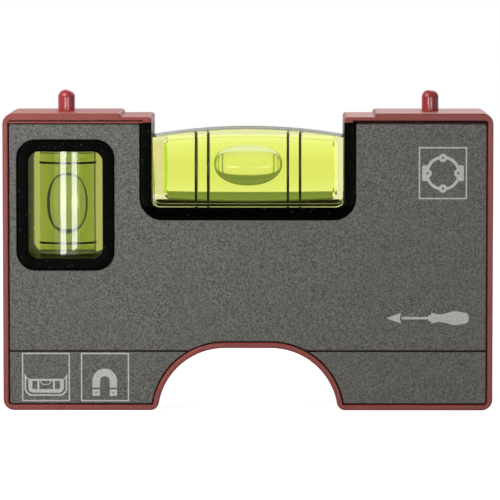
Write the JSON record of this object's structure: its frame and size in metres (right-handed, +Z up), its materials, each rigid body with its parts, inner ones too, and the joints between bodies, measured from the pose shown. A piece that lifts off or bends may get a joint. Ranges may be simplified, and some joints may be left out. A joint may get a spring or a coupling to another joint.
{
  "type": "mini spirit level",
  "caption": "Small spirit level with a level vial in its top edge, an upright plumb vial, locating pins on top, an arched base and base magnets.",
  "frame": {"origin": "middle of the base line, on the plane that the feet stand on, at mid-depth", "axes": "+X along the base to the right seen from the front, +Y from the front face to the rear face, +Z up towards the pins"},
  "size_m": [0.08, 0.02, 0.0521],
  "materials": {
    "frame_red": "fine matt moulded red plastic",
    "plate_grey": "fine spark-eroded texture, mid grey",
    "surround_black": "smooth moulded black plastic",
    "vial_acrylic": "polished clear acrylic",
    "vial_plug": "clear acrylic plug",
    "vial_ring": "thin black ring",
    "vial_liquid": "fluorescent yellow-green liquid",
    "vial_bubble": "air bubble",
    "pin_red": "glossy red",
    "magnet_metal": "nickel plated",
    "sign_white": "thin off-white pad print of the use signs"
  },
  "bodies": {
    "housing": {"frame": "frame_red", "front_plate": "plate_grey", "front_foot_plate_left": "plate_grey", "front_foot_plate_right": "plate_grey", "rear_plate": "plate_grey", "rear_foot_plate_left": "plate_grey", "rear_foot_plate_right": "plate_grey", "level_vial_cradle": "surround_black", "level_vial_block": "vial_acrylic", "level_vial_plug": "vial_plug", "level_vial_ring_left_outer": "vial_ring", "level_vial_ring_left_inner": "vial_ring", "level_vial_ring_right_inner": "vial_ring", "level_vial_ring_right_outer": "vial_ring", "plumb_vial_sleeve": "surround_black", "plumb_vial_block": "vial_acrylic", "plumb_vial_plug": "vial_plug", "plumb_vial_ring_upper": "vial_ring", "plumb_vial_ring_lower": "vial_ring", "pin_left": "pin_red", "pin_right": "pin_red", "magnet_left": "magnet_metal", "magnet_right": "magnet_metal"},
    "level_liquid": {"level_vial_liquid": "vial_liquid"},
    "level_bubble": {"level_vial_bubble": "vial_bubble"},
    "plumb_liquid": {"plumb_vial_liquid": "vial_liquid"},
    "plumb_bubble": {"plumb_vial_bubble": "vial_bubble"}
  },
  "joints": [
    {"name": "level_liquid_roll", "type": "hinge", "parent": "housing", "child": "level_liquid", "pos_m": [0, 0, 0.03935], "axis": [1, 0, 0], "continuous": true},
    {"name": "level_bubble_slide", "type": "slide", "parent": "level_liquid", "child": "level_bubble", "axis": [1, 0, 0], "range_m": [-0.0075, 0.0075], "stiffness_N_per_m": 5},
    {"name": "plumb_liquid_roll", "type": "hinge", "parent": "housing", "child": "plumb_liquid", "pos_m": [-0.02975, 0, 0.0336], "axis": [0, 0, 1], "continuous": true},
    {"name": "plumb_bubble_slide", "type": "slide", "parent": "plumb_liquid", "child": "plumb_bubble", "axis": [0, 0, 1], "range_m": [-0.0017, 0.0017], "stiffness_N_per_m": 5}
  ]
}
